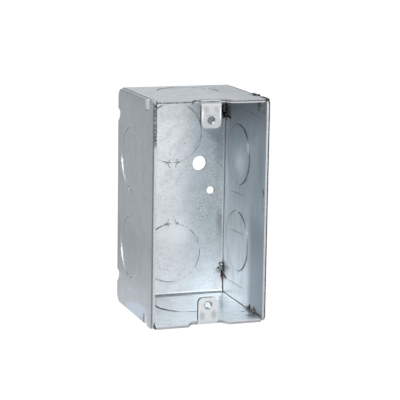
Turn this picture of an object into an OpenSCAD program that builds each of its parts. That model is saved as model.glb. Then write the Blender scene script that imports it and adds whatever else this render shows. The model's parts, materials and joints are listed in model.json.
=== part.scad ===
// Single-gang utility box of galvanised sheet steel, 4 x 2-1/8 x 2-1/8 inches.
// One strip is bent into the top, back and bottom, and a flat plate is welded on each side.
// Millimetres. Origin at the bottom centre, +Z up, the open front faces -Y.

/* [Box] */
// Width over the two side plates
box_w = 53.975; // [48:0.025:70]
// Depth from the open front to the back
box_d = 53.975; // [50:0.025:80]
// Height over the bent strip
box_h = 101.6; // [98:0.1:125]
// Thickness of the sheet steel
sheet_t = 1.6; // [1.2:0.1:2]

/* [Bent strip] */
// Outer radius of the two bends at the back
bend_r = 3; // [2.4:0.1:5]
// Radius of the strip's front corners, seen from above
strip_corner_r = 1.5; // [0.5:0.1:3]
// Gap between the strip's edge and each side plate
seam_gap = 0.1; // [0.05:0.05:0.3]

/* [Device tabs] */
// Width of each tab
tab_w = 9.3; // [8:0.1:12]
// Distance of each tab's face behind the open front
tab_setback = 1.6; // [0.5:0.1:4]
// Outer radius of the fold at each tab's root
tab_bend_r = 2.4; // [2.2:0.1:3.5]
// Radius of each tab's two free corners
tab_corner_r = 2.4; // [1:0.1:3.8]
// Distance between the two device screw holes
device_pitch = 83.3; // [78:0.1:86]
// Diameter of each device screw hole
device_hole_d = 3.5; // [2.5:0.1:4.5]
// Length of tab beyond the middle of its hole
tab_end_l = 3.55; // [3:0.05:6]

/* [Reliefs beside the tabs] */
// Width of each relief at the open front
relief_mouth_w = 5.1; // [3.5:0.1:8]
// Width of each relief where its slanted side ends
relief_neck_w = 2.8; // [1.5:0.1:3.4]
// Width of each relief at its root
relief_root_w = 2.3; // [0.8:0.1:2.8]
// Distance of the slanted side's end from the root
relief_shoulder_l = 0.9; // [0.4:0.1:1.4]

/* [Knockouts] */
// Diameter of each knockout
ko_d = 28.2; // [20:0.1:29.5]
// Distance from the back to the knockouts of the sides, top and bottom
ko_from_back = 20; // [18:0.1:24]
// Distance between the two knockouts of one side plate
side_ko_pitch = 41; // [36:0.1:50]
// Distance from each end of the box to the back's knockouts
back_ko_from_end = 22.1; // [20.5:0.1:24]
// Distance of the back's knockouts from the middle of the width
back_ko_x = -0.8; // [-1:0.1:1]
// Distance that each knockout is pushed into the box
ko_push = 0.35; // [0.1:0.05:0.6]
// Width of the shear line round each knockout
ko_shear_w = 0.15; // [0.1:0.05:0.3]
// Width of the tie that holds each knockout, at the knockout's rim
tie_w = 4.6; // [3.2:0.1:6]
// Width of the tie at its root
tie_root_w = 3; // [2:0.1:3]
// Length of the two slits beside the tie, past the knockout's rim
tie_slit_l = 2.3; // [0.6:0.1:2.8]

/* [Holes in the back] */
// Diameter of the two mounting holes
mount_hole_d = 7; // [4:0.1:7.4]
// Distance of the mounting holes from the middle of the width
mount_hole_x = 12.7; // [11.5:0.1:17]
// Distance of each mounting hole past its knockout's rim, along the height
mount_hole_past_ko = 0.9; // [0:0.1:3]
// Diameter of the ground screw hole
ground_hole_d = 4.4; // [3:0.1:5]
// Distance of the ground screw hole from the middle of the width
ground_hole_x = 18.4; // [16:0.1:19]
// Height of the ground screw hole above the middle of the box
ground_hole_up = 0.5; // [-1:0.1:1.5]

/* [Side plates] */
// Radius of the back corners
plate_back_r = 4.3; // [2:0.1:7]
// Radius of the front corners
plate_front_r = 3; // [1:0.1:5]
// Step from the ends of the box down to the plate's edges behind the weld notches
plate_step = 0.4; // [0.1:0.05:0.8]

/* [Weld notches] */
// Distance from the open front to the notches in the plate's ends
end_notch_from_front = 7.2; // [6:0.1:12]
// Width of the notches in the plate's ends
end_notch_w = 4.7; // [3:0.1:7]
// Depth of the notches in the plate's ends
end_notch_l = 4.7; // [2.5:0.1:7]
// Distance from each end of the box to the notches in the plate's back edge
back_notch_from_end = 10; // [8:0.1:14]
// Width of the notches in the back edge, at their mouth
back_notch_w = 5.8; // [5:0.1:7]
// Depth of the notches in the back edge
back_notch_l = 3.8; // [2.5:0.1:5]
// Width of the notches in the back edge, at their root
back_notch_root_w = 1.2; // [0.6:0.1:2]
// Slope of the upper flank of the notches in the back edge, over their depth
back_notch_lead = 1.1; // [0.5:0.1:2]

/* [Welds] */
// Distance that the beads in the plate's ends stand out from the strip's edge
end_bead_proud = 1.4; // [0.8:0.05:1.5]
// Thickness of the beads in the plate's ends
end_bead_t = 0.9; // [0.5:0.05:1]
// Gap left at the front of each of these beads
end_bead_gap = 0.7; // [0.3:0.1:1.2]
// Distance that the beads in the back edge stand out from the strip's edge
back_bead_proud = 0.9; // [0.5:0.05:1.1]
// Distance that each bead stays below the strip's outer face
bead_sink = 0.15; // [0.05:0.05:0.2]
// Length that each bead would reach past its notch before it is trimmed
bead_reach = 0.3; // [0.1:0.05:0.5]

/* [Hidden] */
$fn = 96;

strip_colour = [0.78, 0.81, 0.83];
plate_colour = [0.66, 0.69, 0.72];
bead_colour = [0.42, 0.42, 0.44];

// Cuts run this far past a face, so that no skin is left
over = 1;

front_y = -box_d / 2;
back_y = box_d / 2;
side_x = box_w / 2;
mid_z = box_h / 2;
plate_in_x = side_x - sheet_t;
strip_half_w = plate_in_x - seam_gap;

tab_face_y = front_y + tab_setback;
tab_fold_y = tab_face_y + tab_bend_r;
tab_half_w = tab_w / 2;
device_hole_z = mid_z + device_pitch / 2;
tab_end_z = device_hole_z - tab_end_l;

ko_y = back_y - ko_from_back;
side_ko_z = [mid_z - side_ko_pitch / 2, mid_z + side_ko_pitch / 2];
low_ko_z = back_ko_from_end;
high_ko_z = box_h - back_ko_from_end;
mount_hole_drop = ko_d / 2 + mount_hole_past_ko;
tie_root_y = ko_d / 2 + tie_slit_l;

end_notch_y = front_y + end_notch_from_front;
end_notch_back_y = end_notch_y + end_notch_w;
low_notch_z = back_notch_from_end;
high_notch_z = box_h - back_notch_from_end - back_notch_w;

// Placing features on a wall. A feature is drawn flat, with the sheet from z = 0 on its
// outer face to z = sheet_t on its inner face.

module on_left(y, z) {
    translate([-side_x, y, z]) rotate([90, 0, 90]) children();
}

module on_back(x, z) {
    translate([x, back_y, z]) rotate([90, 0, 0]) children();
}

module on_top(x, y) {
    translate([x, y, box_h]) rotate([180, 0, 0]) children();
}

module on_bottom(x, y) {
    translate([x, y, 0]) children();
}

// A profile of depth and height, drawn as x and y, made into a slab across the box
module across_box(half_w) {
    rotate([90, 0, 90]) linear_extrude(2 * half_w, center = true) children();
}

module round_hole(d) {
    translate([0, 0, -over]) cylinder(d = d, h = sheet_t + 2 * over);
}

// Knockout: a disc sheared out of the sheet and pushed inwards. One tie holds it, between two
// slits that draw together past the knockout's rim.

module tie_slits() {
    rim_y = sqrt(ko_d * ko_d - tie_w * tie_w) / 2;
    for (side = [-1, 1])
        translate([0, 0, -over])
            linear_extrude(sheet_t + 2 * over)
                polygon([
                    [side * tie_w / 2 - ko_shear_w, rim_y - ko_shear_w],
                    [side * tie_w / 2 + ko_shear_w, rim_y - ko_shear_w],
                    [side * tie_root_w / 2 + ko_shear_w, tie_root_y],
                    [side * tie_root_w / 2 - ko_shear_w, tie_root_y]
                ]);
}

module knockout_hole(tie_turn) {
    rotate(tie_turn) {
        round_hole(ko_d);
        tie_slits();
    }
}

module tie() {
    rim_half_w = tie_w / 2 - 2 * ko_shear_w;
    root_half_w = tie_root_w / 2 - 2 * ko_shear_w;
    hold_y = ko_d / 2 - ko_shear_w - sheet_t / 2;
    translate([0, 0, ko_push])
        linear_extrude(sheet_t - ko_push)
            polygon([
                [-rim_half_w, hold_y],
                [rim_half_w, hold_y],
                [root_half_w, tie_root_y],
                [-root_half_w, tie_root_y]
            ]);
}

module knockout_disc(tie_turn) {
    rotate(tie_turn) {
        translate([0, 0, ko_push]) cylinder(d = ko_d - 2 * ko_shear_w, h = sheet_t);
        tie();
    }
}

// Bent strip: top, back and bottom in one, with a device tab folded in at each end

module strip_area(inset, corner_r, from_y) {
    to_y = back_y - inset;
    to_z = box_h - inset;
    translate([from_y, inset])
        square([to_y - corner_r - from_y, to_z - inset]);
    translate([from_y, inset + corner_r])
        square([to_y - from_y, to_z - inset - 2 * corner_r]);
    for (z = [inset + corner_r, to_z - corner_r])
        translate([to_y - corner_r, z]) circle(corner_r);
}

module strip_profile() {
    difference() {
        strip_area(0, bend_r, front_y);
        strip_area(sheet_t, bend_r - sheet_t, front_y - over);
    }
}

// Plan of the strip: full width, with rounded front corners
module strip_plan() {
    translate([-strip_half_w, front_y + strip_corner_r])
        square([2 * strip_half_w, box_d - strip_corner_r + over]);
    translate([-strip_half_w + strip_corner_r, front_y])
        square([2 * (strip_half_w - strip_corner_r), box_d]);
    for (side = [-1, 1])
        translate([side * (strip_half_w - strip_corner_r), front_y + strip_corner_r])
            circle(strip_corner_r);
}

// Plan of what is cut out of the front edge: the tab's own width and a relief on each side
module relief_plan() {
    mouth_x = tab_half_w + relief_mouth_w;
    neck_x = tab_half_w + relief_neck_w;
    root_x = tab_half_w + relief_root_w;
    neck_y = tab_fold_y - relief_shoulder_l;
    polygon([
        [-mouth_x, front_y],
        [-mouth_x, front_y - over],
        [mouth_x, front_y - over],
        [mouth_x, front_y],
        [neck_x, neck_y],
        [root_x, tab_fold_y],
        [-root_x, tab_fold_y],
        [-neck_x, neck_y]
    ]);
}

module strip_blank() {
    difference() {
        intersection() {
            across_box(strip_half_w) strip_profile();
            linear_extrude(box_h) strip_plan();
        }
        translate([0, 0, -over]) linear_extrude(box_h + 2 * over) relief_plan();
    }
}

module tab_profile() {
    translate([tab_fold_y, box_h - sheet_t])
        square([sheet_t, sheet_t]);
    intersection() {
        translate([tab_fold_y, box_h - tab_bend_r])
            difference() {
                circle(tab_bend_r);
                circle(tab_bend_r - sheet_t);
            }
        translate([tab_face_y, box_h - tab_bend_r])
            square([tab_bend_r, tab_bend_r]);
    }
    translate([tab_face_y, tab_end_z])
        square([sheet_t, box_h - tab_bend_r - tab_end_z]);
}

// Front view of a tab, with its free corners rounded
module tab_front() {
    straight_z = tab_end_z + tab_corner_r;
    translate([-tab_half_w, straight_z])
        square([tab_w, box_h - straight_z]);
    translate([-tab_half_w + tab_corner_r, tab_end_z])
        square([tab_w - 2 * tab_corner_r, tab_corner_r]);
    for (side = [-1, 1])
        translate([side * (tab_half_w - tab_corner_r), straight_z]) circle(tab_corner_r);
}

module device_tab() {
    reach = tab_bend_r + sheet_t + over;
    difference() {
        intersection() {
            across_box(tab_half_w) tab_profile();
            translate([0, tab_face_y + reach, 0])
                rotate([90, 0, 0]) linear_extrude(reach + over) tab_front();
        }
        translate([0, tab_face_y - over, device_hole_z])
            rotate([-90, 0, 0]) cylinder(d = device_hole_d, h = sheet_t + 2 * over);
    }
}

module bent_strip() {
    color(strip_colour) {
        difference() {
            strip_blank();
            on_top(0, ko_y) knockout_hole(180);
            on_bottom(0, ko_y) knockout_hole(0);
            on_back(back_ko_x, low_ko_z) knockout_hole(0);
            on_back(back_ko_x, high_ko_z) knockout_hole(180);
            on_back(mount_hole_x, high_ko_z - mount_hole_drop) round_hole(mount_hole_d);
            on_back(-mount_hole_x, low_ko_z + mount_hole_drop) round_hole(mount_hole_d);
            on_back(ground_hole_x, mid_z + ground_hole_up) round_hole(ground_hole_d);
        }
        on_top(0, ko_y) knockout_disc(180);
        on_bottom(0, ko_y) knockout_disc(0);
        on_back(back_ko_x, low_ko_z) knockout_disc(0);
        on_back(back_ko_x, high_ko_z) knockout_disc(180);
        device_tab();
        translate([0, 0, box_h]) mirror([0, 0, 1]) device_tab();
    }
}

// Side plates: outline of depth and height, with notches for the welds

module plate_ear_area() {
    ear_l = end_notch_from_front;
    translate([front_y + plate_front_r, 0])
        square([ear_l - plate_front_r, box_h]);
    translate([front_y, plate_front_r])
        square([ear_l, box_h - 2 * plate_front_r]);
    for (z = [plate_front_r, box_h - plate_front_r])
        translate([front_y + plate_front_r, z]) circle(plate_front_r);
}

module plate_main_area() {
    low_z = plate_step;
    high_z = box_h - plate_step;
    translate([end_notch_y - over, low_z])
        square([back_y - plate_back_r - end_notch_y + over, high_z - low_z]);
    translate([end_notch_y - over, low_z + plate_back_r])
        square([back_y - end_notch_y + over, high_z - low_z - 2 * plate_back_r]);
    for (z = [low_z + plate_back_r, high_z - plate_back_r])
        translate([back_y - plate_back_r, z]) circle(plate_back_r);
}

module end_notch_area(from_z) {
    translate([end_notch_y, from_z]) square([end_notch_w, end_notch_l + over]);
}

module back_notch_area(from_z) {
    to_z = from_z + back_notch_w;
    root_y = back_y - back_notch_l;
    polygon([
        [back_y + over, from_z],
        [back_y, from_z],
        [root_y, to_z - back_notch_lead - back_notch_root_w],
        [root_y, to_z - back_notch_lead],
        [back_y, to_z],
        [back_y + over, to_z]
    ]);
}

module notch_areas() {
    end_notch_area(-over);
    end_notch_area(box_h - end_notch_l);
    back_notch_area(low_notch_z);
    back_notch_area(high_notch_z);
}

module plate_area() {
    difference() {
        union() {
            plate_ear_area();
            plate_main_area();
        }
        notch_areas();
    }
}

module left_plate_shape() {
    difference() {
        on_left(0, 0) linear_extrude(sheet_t) plate_area();
        for (z = side_ko_z) on_left(ko_y, z) knockout_hole(180);
    }
    for (z = side_ko_z) on_left(ko_y, z) knockout_disc(180);
}

module left_side_plate() {
    color(plate_colour) left_plate_shape();
}

module right_side_plate() {
    color(plate_colour) mirror([1, 0, 0]) left_plate_shape();
}

// Weld beads: low caps on the strip's edge, trimmed to the notch that each one lies in

// Part of a ball that stands out from the strip's left edge and covers half_l each way along it
module bead_cap(half_l, proud) {
    ball_r = (half_l * half_l + proud * proud) / (2 * proud);
    translate([-strip_half_w + ball_r - proud, 0, 0]) sphere(ball_r);
}

module left_end_bead() {
    bead_l = end_notch_w - end_bead_gap;
    bead_y = end_notch_back_y - bead_l;
    bead_z = box_h - bead_sink - end_bead_t;
    intersection() {
        translate([0, bead_y + bead_l / 2, bead_z + end_bead_t / 2])
            bead_cap(bead_l / 2 + bead_reach, end_bead_proud);
        translate([-side_x, bead_y, bead_z])
            cube([side_x - strip_half_w, bead_l, end_bead_t]);
    }
}

module left_back_bead(notch_z) {
    bead_t = sheet_t - bead_sink;
    intersection() {
        translate([0, back_y - bead_sink - bead_t / 2, notch_z + back_notch_w / 2])
            bead_cap(back_notch_w / 2 + bead_reach, back_bead_proud);
        translate([-side_x, back_y - sheet_t, notch_z])
            cube([side_x - strip_half_w, bead_t, back_notch_w]);
        on_left(0, 0) linear_extrude(sheet_t + seam_gap) back_notch_area(notch_z);
    }
}

module left_beads() {
    left_end_bead();
    translate([0, 0, box_h]) mirror([0, 0, 1]) left_end_bead();
    left_back_bead(low_notch_z);
    left_back_bead(high_notch_z);
}

module weld_beads() {
    color(bead_colour) {
        left_beads();
        mirror([1, 0, 0]) left_beads();
    }
}

bent_strip();
left_side_plate();
right_side_plate();
weld_beads();
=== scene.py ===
"""Looks of a welded galvanised utility box: sheet, cut edges, weld metal, threads and a plain studio."""

import json
import math
import random

import bmesh
import bpy
from mathutils import Matrix, Vector, noise


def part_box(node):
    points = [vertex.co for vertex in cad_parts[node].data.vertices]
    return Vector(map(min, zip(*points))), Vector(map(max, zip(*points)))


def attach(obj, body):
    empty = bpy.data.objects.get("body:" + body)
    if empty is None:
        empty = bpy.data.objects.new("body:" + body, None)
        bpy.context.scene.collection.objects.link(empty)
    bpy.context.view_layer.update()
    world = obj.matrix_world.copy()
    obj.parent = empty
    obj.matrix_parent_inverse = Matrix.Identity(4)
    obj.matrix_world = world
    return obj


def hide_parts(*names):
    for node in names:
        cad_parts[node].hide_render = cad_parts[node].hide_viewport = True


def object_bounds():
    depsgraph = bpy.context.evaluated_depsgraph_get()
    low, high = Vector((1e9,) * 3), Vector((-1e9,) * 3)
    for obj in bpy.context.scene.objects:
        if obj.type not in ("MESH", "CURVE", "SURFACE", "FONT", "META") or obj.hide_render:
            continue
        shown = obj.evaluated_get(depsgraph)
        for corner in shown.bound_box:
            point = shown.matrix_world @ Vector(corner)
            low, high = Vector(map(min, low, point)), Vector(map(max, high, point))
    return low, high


bl_info = {
    "name": "Utility Box Looks",
    "version": (1, 0, 0),
    "blender": (4, 5, 0),
    "location": "3D View > Sidebar > Utility Box",
    "description": "Finishes a welded sheet-steel utility box and lights it on a pale floor",
    "category": "Object",
}

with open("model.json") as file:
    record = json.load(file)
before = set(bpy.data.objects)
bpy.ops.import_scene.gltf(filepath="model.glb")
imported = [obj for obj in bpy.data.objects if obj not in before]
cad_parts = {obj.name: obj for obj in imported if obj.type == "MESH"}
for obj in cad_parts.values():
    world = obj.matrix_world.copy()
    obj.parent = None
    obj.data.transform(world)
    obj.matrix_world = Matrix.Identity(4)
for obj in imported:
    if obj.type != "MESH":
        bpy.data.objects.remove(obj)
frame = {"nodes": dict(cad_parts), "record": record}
CAD_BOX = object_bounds()

BODY = "root"
MM = 0.001

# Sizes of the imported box, in millimetres
LOW = Vector(CAD_BOX[0]) / MM
HIGH = Vector(CAD_BOX[1]) / MM
HALF_W = HIGH.x
FRONT_Y = LOW.y
BACK_Y = HIGH.y
BOX_H = HIGH.z
MID_Z = BOX_H / 2
STRIP_HALF_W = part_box("bent_strip")[1][0] / MM
SHEET_T = 1.6
THREAD_PITCH = 0.79
INNER_X = HALF_W - SHEET_T
INNER_BACK_Y = BACK_Y - SHEET_T
TAB_Y = FRONT_Y + 1.6
# A mask for the tabs fades between these distances from the middle
TAB_FADE = (5.4, 5.0)

# Notches in the side plates' edges, and how far their weld metal lies below the outer face
END_NOTCH_FROM_FRONT = 7.2
END_NOTCH_W = 4.7
END_NOTCH_L = 4.7
BACK_NOTCH_FROM_END = 10
BACK_NOTCH_W = 5.8
BACK_NOTCH_L = 3.8
PLUG_SINK = 0.6
PLUG_ROUGH = 0.15

# Middle and half sizes of the drops of metal thrown out beside the welds on the right
SPATTER = (
    ((24.7, 25.1, 15.2), (0.9, 0.5, 0.8)),
    ((25.1, 25.1, 13.0), (0.5, 0.5, 1.5)),
    ((24.0, 25.3, 11.8), (0.6, 0.3, 0.6)),
    ((25.2, 24.6, 10.2), (0.35, 0.6, 0.8)),
    ((24.6, 25.0, 90.4), (0.9, 0.6, 1.9)),
    ((25.1, 24.7, 87.4), (0.5, 0.8, 0.7)),
    ((25.0, -8.5, 1.9), (0.4, 2.2, 0.45)),
    ((24.5, -12.6, 2.0), (0.8, 1.1, 0.6)),
    ((25.0, -16.6, 2.1), (0.5, 1.7, 0.7)),
    ((25.0, -22.0, 1.8), (0.35, 2.4, 0.4)),
    ((25.9, -9.6, 101.5), (0.8, 2.2, 0.35)),
    ((25.4, -12.4, 101.5), (1.1, 1.8, 0.5)),
    ((25.6, -15.4, 101.5), (1.1, 1.9, 0.65)),
    ((24.2, -15.0, 101.5), (0.8, 1.7, 0.3)),
    ((26.1, -21.0, 101.3), (0.6, 2.2, 0.5)),
    ((25.3, -24.0, 101.4), (0.5, 2.0, 0.35)),
    ((26.2, -25.9, 100.8), (0.75, 1.1, 0.8)),
)

# Outward direction of each wall, and the place of a point on it
WALLS = {
    "back": (Vector((0, 1, 0)), lambda x, z: (x, INNER_BACK_Y, z)),
    "right": (Vector((1, 0, 0)), lambda y, z: (INNER_X, y, z)),
    "left": (Vector((1, 0, 0)), lambda y, z: (-HALF_W, y, z)),
    "top": (Vector((0, 0, 1)), lambda x, y: (x, y, BOX_H)),
    "bottom": (Vector((0, 0, 1)), lambda x, y: (x, y, SHEET_T)),
    "tab": (Vector((0, 1, 0)), lambda x, z: (x, TAB_Y, z)),
    "front": (Vector((0, 1, 0)), lambda x, z: (x, FRONT_Y, z)),
}

UPWARD = Vector((0, 0, 1))
# Direction out of the corner between the back and the bottom
CORNER = Vector((0, 1, -1)).normalized()

MOUNTS = {mount["name"]: mount for mount in frame["record"]["mounts"]}
# Directions from the knockouts' middles to their ties. The other ties point down.
TIE_WAYS = {
    "lower_back_knockout": Vector((0, 0, 1)),
    "top_knockout": Vector((0, 1, 0)),
    "bottom_knockout": Vector((0, 1, 0)),
}


def mount_place(name):
    """Where a mount lies, in millimetres."""
    return Vector(MOUNTS[name]["pos_m"]) / MM


def mount_radius(name):
    return MOUNTS[name]["dims"]["r_mm"]


class Nodes:
    """Small sums on the values of a node tree."""

    def __init__(self, tree, place):
        self.tree = tree
        self.place = place
        self.x, self.y, self.z = self.new("ShaderNodeSeparateXYZ", {"Vector": place}).outputs

    def put(self, socket, value):
        """Links a socket's value, or sets a plain one."""
        if isinstance(value, bpy.types.NodeSocket):
            self.tree.links.new(value, socket)
        else:
            socket.default_value = value

    def new(self, kind, inputs):
        """A new node, with a value or a link for each of these inputs."""
        node = self.tree.nodes.new(kind)
        for name, value in inputs.items():
            self.put(node.inputs[name], value)
        return node

    def math(self, operation, *values):
        node = self.new("ShaderNodeMath", dict(enumerate(values)))
        node.operation = operation
        return node.outputs["Value"]

    def vector(self, operation, *values):
        """Result of a vector operation, or its number where it has one."""
        node = self.new("ShaderNodeVectorMath", dict(enumerate(values)))
        node.operation = operation
        return node.outputs["Value" if operation == "LENGTH" else "Vector"]

    def fold(self, operation, values):
        """One value out of several, taken in one after another."""
        result = values[0]
        for value in values[1:]:
            result = self.math(operation, result, value)
        return result

    def times(self, *masks):
        """All of the masks at once."""
        return self.fold("MULTIPLY", masks)

    def plus(self, *values):
        """The sum of the values."""
        return self.fold("ADD", values)

    def any_of(self, *masks):
        """The strongest of the masks."""
        return self.fold("MAXIMUM", masks)

    def less(self, mask):
        """The mask turned round."""
        return self.math("SUBTRACT", 1, mask)

    def off(self, value, middle):
        """Distance of a value from a middle."""
        return self.math("ABSOLUTE", self.math("SUBTRACT", value, middle))

    def ramp(self, value, low, high):
        """Soft step from 0 at low to 1 at high. High may be the smaller one."""
        node = self.new("ShaderNodeMapRange", {"Value": value, "From Min": low, "From Max": high})
        node.interpolation_type = "SMOOTHSTEP"
        return node.outputs["Result"]

    def quarters(self, strengths, soft=0.2):
        """A brightness for each quarter round the box: front left, front right, back left, back right."""
        flat = self.vector("NORMALIZE", self.vector("MULTIPLY", self.place, (1, 1, 0)))
        split = self.new("ShaderNodeSeparateXYZ", {"Vector": flat})
        left = self.ramp(split.outputs["X"], soft, -soft)
        right = self.less(left)
        front = self.ramp(split.outputs["Y"], soft, -soft)
        back = self.less(front)
        shares = [(front, left), (front, right), (back, left), (back, right)]
        return self.plus(*[self.times(*share, part) for share, part in zip(shares, strengths)])


class Paint(Nodes):
    """Layers of colour, shine and relief on one Principled shader, laid out in millimetres."""

    def __init__(self, name, colour, metallic, roughness):
        self.material = bpy.data.materials.new(name)
        self.material.use_nodes = True
        tree = self.material.node_tree
        coordinates = tree.nodes.new("ShaderNodeTexCoord")
        scale = tree.nodes.new("ShaderNodeMapping")
        scale.inputs["Scale"].default_value = [1 / MM] * 3
        tree.links.new(coordinates.outputs["Object"], scale.inputs["Vector"])
        super().__init__(tree, scale.outputs["Vector"])
        self.shader = tree.nodes["Principled BSDF"]
        self.shader.inputs["Specular IOR Level"].default_value = 0.1
        self.now = {"Base Color": colour, "Metallic": metallic, "Roughness": roughness}
        self.rough_edge = None

    def spread(self, size, stretch=(1, 1, 1), shift=0.0):
        """Coordinates for a texture with cells of this size in millimetres."""
        scale = [1 / (size * part) for part in stretch]
        inputs = {"Vector": self.place, "Location": [shift] * 3, "Scale": scale}
        return self.new("ShaderNodeMapping", inputs).outputs["Vector"]

    def noise(self, size, stretch=(1, 1, 1), detail=2, shift=0.0):
        """Cloudy noise from about 0.25 to 0.75, with features of this size in millimetres."""
        place = self.spread(size, stretch, shift)
        node = self.new("ShaderNodeTexNoise", {"Vector": place, "Scale": 1, "Detail": detail})
        return node.outputs["Fac"]

    def mark(self, start, end, width, normal, soft=0.5, ragged=0.0):
        """Long or round mark from start to end on a wall. Width is its half width in millimetres."""
        start, end = Vector(start), Vector(end)
        run = end - start
        side = normal.orthogonal().normalized() if run.length == 0 else run.normalized()
        turn = Matrix((side, normal, side.cross(normal))).transposed()
        middle = (start + end) / 2
        size = (run.length / 2 + width, max(width, 1.2), width)
        turned = self.new("ShaderNodeVectorRotate", {"Vector": self.place, "Center": middle})
        turned.rotation_type = "EULER_XYZ"
        turned.invert = True
        self.put(turned.inputs["Rotation"], turn.to_euler())
        scale = [1 / part for part in size]
        shift = [-at / part for at, part in zip(middle, size)]
        local = self.vector("MULTIPLY_ADD", turned.outputs["Vector"], scale, shift)
        reach = self.vector("LENGTH", local)
        if ragged:
            if self.rough_edge is None:
                self.rough_edge = self.noise(0.9, detail=3)
            wave = self.math("MULTIPLY_ADD", self.rough_edge, ragged, -ragged / 2)
            reach = self.math("ADD", reach, wave)
        return self.ramp(reach, 1, 1 - soft)

    def ring(self, centre, radius, width, normal):
        """Thin circle on a wall, a quarter of whose width is fully drawn."""
        keep = [0 if abs(part) > 0.5 else 1 for part in normal]
        offset = self.vector("MULTIPLY", self.vector("SUBTRACT", self.place, centre), keep)
        return self.ramp(self.off(self.vector("LENGTH", offset), radius), width, width / 4)

    def marks(self, wall, spans, soft=0.5, ragged=0.0):
        """Several marks on one wall, each with a start, an end and a half width."""
        normal, place = WALLS[wall]
        masks = []
        for start, end, width in spans:
            masks.append(self.mark(place(*start), place(*end), width, normal, soft, ragged))
        return self.any_of(*masks)

    def pits(self, size, radius, share):
        """Small round pits, one at most in each cell of this size, in this share of the cells."""
        node = self.new("ShaderNodeTexVoronoi", {"Vector": self.spread(size), "Scale": 1})
        split = self.new("ShaderNodeSeparateColor", {"Color": node.outputs["Color"]})
        chosen = self.math("LESS_THAN", split.outputs["Red"], share)
        return self.times(chosen, self.ramp(node.outputs["Distance"], radius / size, radius / size / 2))

    def coat(self, *masks, colour=None, metallic=None, roughness=None):
        """Lays a new colour and shine over what is there, where all of the masks are."""
        mask = self.times(*masks)
        for name, value in (("Base Color", colour), ("Metallic", metallic), ("Roughness", roughness)):
            if value is None:
                continue
            node = self.new("ShaderNodeMix", {})
            if name == "Base Color":
                node.data_type = "RGBA"
            sockets = [socket for socket in node.inputs if socket.enabled]
            self.put(sockets[0], mask)
            self.put(sockets[1], self.now[name])
            self.put(sockets[2], value)
            self.now[name] = [socket for socket in node.outputs if socket.enabled][0]

    def cover(self, wall, spans, colour, soft=0.5, ragged=0.0, where=(), **shine):
        """Lays several marks on one wall, held back by the masks and strengths in where."""
        self.coat(self.marks(wall, spans, soft, ragged), *where, colour=colour, **shine)

    def relief(self, height, depth):
        """Bump from a height of 0 to 1, this many millimetres deep."""
        bump = self.new("ShaderNodeBump", {"Height": height, "Strength": 1, "Distance": depth * MM})
        self.put(self.shader.inputs["Normal"], bump.outputs["Normal"])

    def finish(self):
        """Hands the layers to the shader."""
        for name, value in self.now.items():
            self.put(self.shader.inputs[name], value)
        return self.material


def grey(level, blue=0.0):
    """Linear colour of about this grey, cooler as blue grows."""
    return (level * (1 - blue), level, level * (1 + blue), 1)


# Black of soot, also painted as the shade in open gaps
SOOT_AND_GAP_SHADE = (0.012, 0.010, 0.009, 1)
OLIVE = (0.20, 0.20, 0.17, 1)
# Dark grey of the painted shade in seams and corners
SEAM_SHADE = (0.09, 0.10, 0.11, 1)
RED_MARK = (0.30, 0.025, 0.02, 1)


def spot(across, up, width):
    """A round mark."""
    return (across, up), (across, up), width


# Marks on the strip: start, end and half width, in millimetres
BACK_SCRATCHES = (
    ((5.2, 84.3), (8.2, 86.8), 0.16),
    ((1.5, 59.0), (4.6, 61.4), 0.16),
    ((3.5, 8.6), (1.0, 3.6), 0.14),
    ((-4.5, 96.0), (-2.0, 97.5), 0.16),
)
# Painted light and painted shade on the back
BACK_LIGHT = (spot(2.0, 32.0, 11), ((19.0, 68.0), (20.0, 52.0), 6), ((23.4, 74.0), (23.4, 40.0), 2.2))
BACK_SHADE = (((17.0, 80.0), (22.0, 76.0), 4), ((23.0, 42.0), (23.5, 30.0), 2.5))
BACK_LINES = (
    ((5.1, 75.0), (5.1, 73.9), 0.2),
    ((-2.2, 70.4), (-2.2, 68.3), 0.15),
    ((2.7, 11.3), (4.3, 11.2), 0.14),
    ((5.3, 84.0), (8.0, 86.3), 0.12),
    ((1.9, 58.7), (4.7, 60.9), 0.12),
)
BACK_DOTS = (
    (12.4, 42.7), (18.1, 40.4), (16.9, 39.1), (14.8, 38.8), (23.5, 38.5), (13.9, 44.0),
    (13.1, 45.3), (15.0, 45.5), (22.1, 29.7), (23.6, 63.1), (19.9, 58.9), (23.2, 46.4),
    (20.0, 45.9), (-4.3, 14.6), (-6.4, 14.9), (-6.9, 16.1), (21.1, 10.9),
)
# The shear lines stop this far from the middle of a tie
TIE_BARE = 1.9
# Blotches at the necks of the ties, beside the middle of each back knockout
TIE_BLOTCHES = (spot(-2.9, 0, 0.7), spot(2.9, 0, 0.7), spot(-1.8, 1.0, 0.5), spot(2.2, 1.3, 0.5))
# Dull patches on the tabs, across and above the bottom
TAB_PATCHES = (
    ((-2.6, 98.2), (-2.2, 96.6), 1.5),
    ((2.3, 98.0), (2.7, 96.4), 1.5),
    ((-3.0, 94.6), (3.0, 94.6), 0.5),
    ((-2.9, 5.6), (-2.6, 3.4), 1.6),
    ((2.9, 5.8), (2.9, 3.6), 1.8),
)
# Painted highlights along the tabs' side edges
TAB_HIGHLIGHTS = (
    ((-4.0, 98.5), (-4.0, 91.5), 0.4),
    ((4.2, 98.5), (4.2, 92.0), 0.35),
    ((-4.0, 3.5), (-4.0, 10.0), 0.35),
)
# Painted shade along the upper tab's bend
TAB_LINES = (((-7, 100.7), (7, 100.7), 0.4),)
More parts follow.
